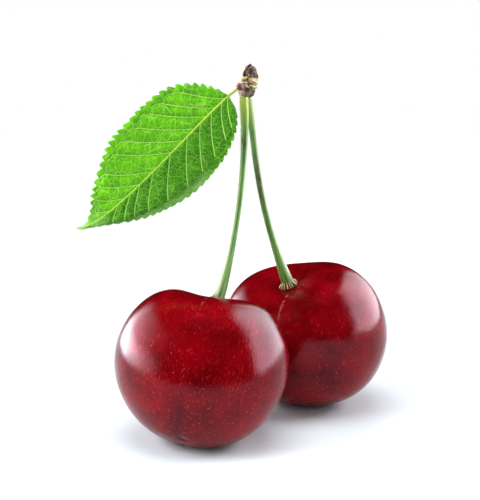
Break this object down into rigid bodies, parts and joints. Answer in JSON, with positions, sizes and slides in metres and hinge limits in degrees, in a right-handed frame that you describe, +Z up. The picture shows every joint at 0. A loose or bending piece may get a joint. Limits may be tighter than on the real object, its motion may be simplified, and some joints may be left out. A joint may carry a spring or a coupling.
{
  "type": "cherry",
  "caption": "Ripe red sweet cherries on long stalks that share a short woody spur with a small serrated leaf, standing on their fruits.",
  "frame": {"origin": "on the surface that the fruits stand on, under the middle of the bounding box", "axes": "+Z up, +X to the right of the front view, with the leaf towards -X, and +Y to the back, towards the rear cherry"},
  "size_m": [0.05, 0.0426, 0.0587],
  "materials": {
    "cherry_skin": "glossy",
    "stalk": "satin",
    "bud_scale": "matte",
    "spur_bark": "matte",
    "dry_scale": "matte",
    "leaf_blade": "satin"
  },
  "bodies": {
    "root": {"cherry_front": "cherry_skin", "cherry_rear": "cherry_skin", "stalk_front": "stalk", "stalk_rear": "stalk", "bud_scales": "bud_scale", "spur": "spur_bark", "side_bud": "spur_bark", "stipule": "dry_scale", "leaf": "leaf_blade"}
  },
  "joints": []
}
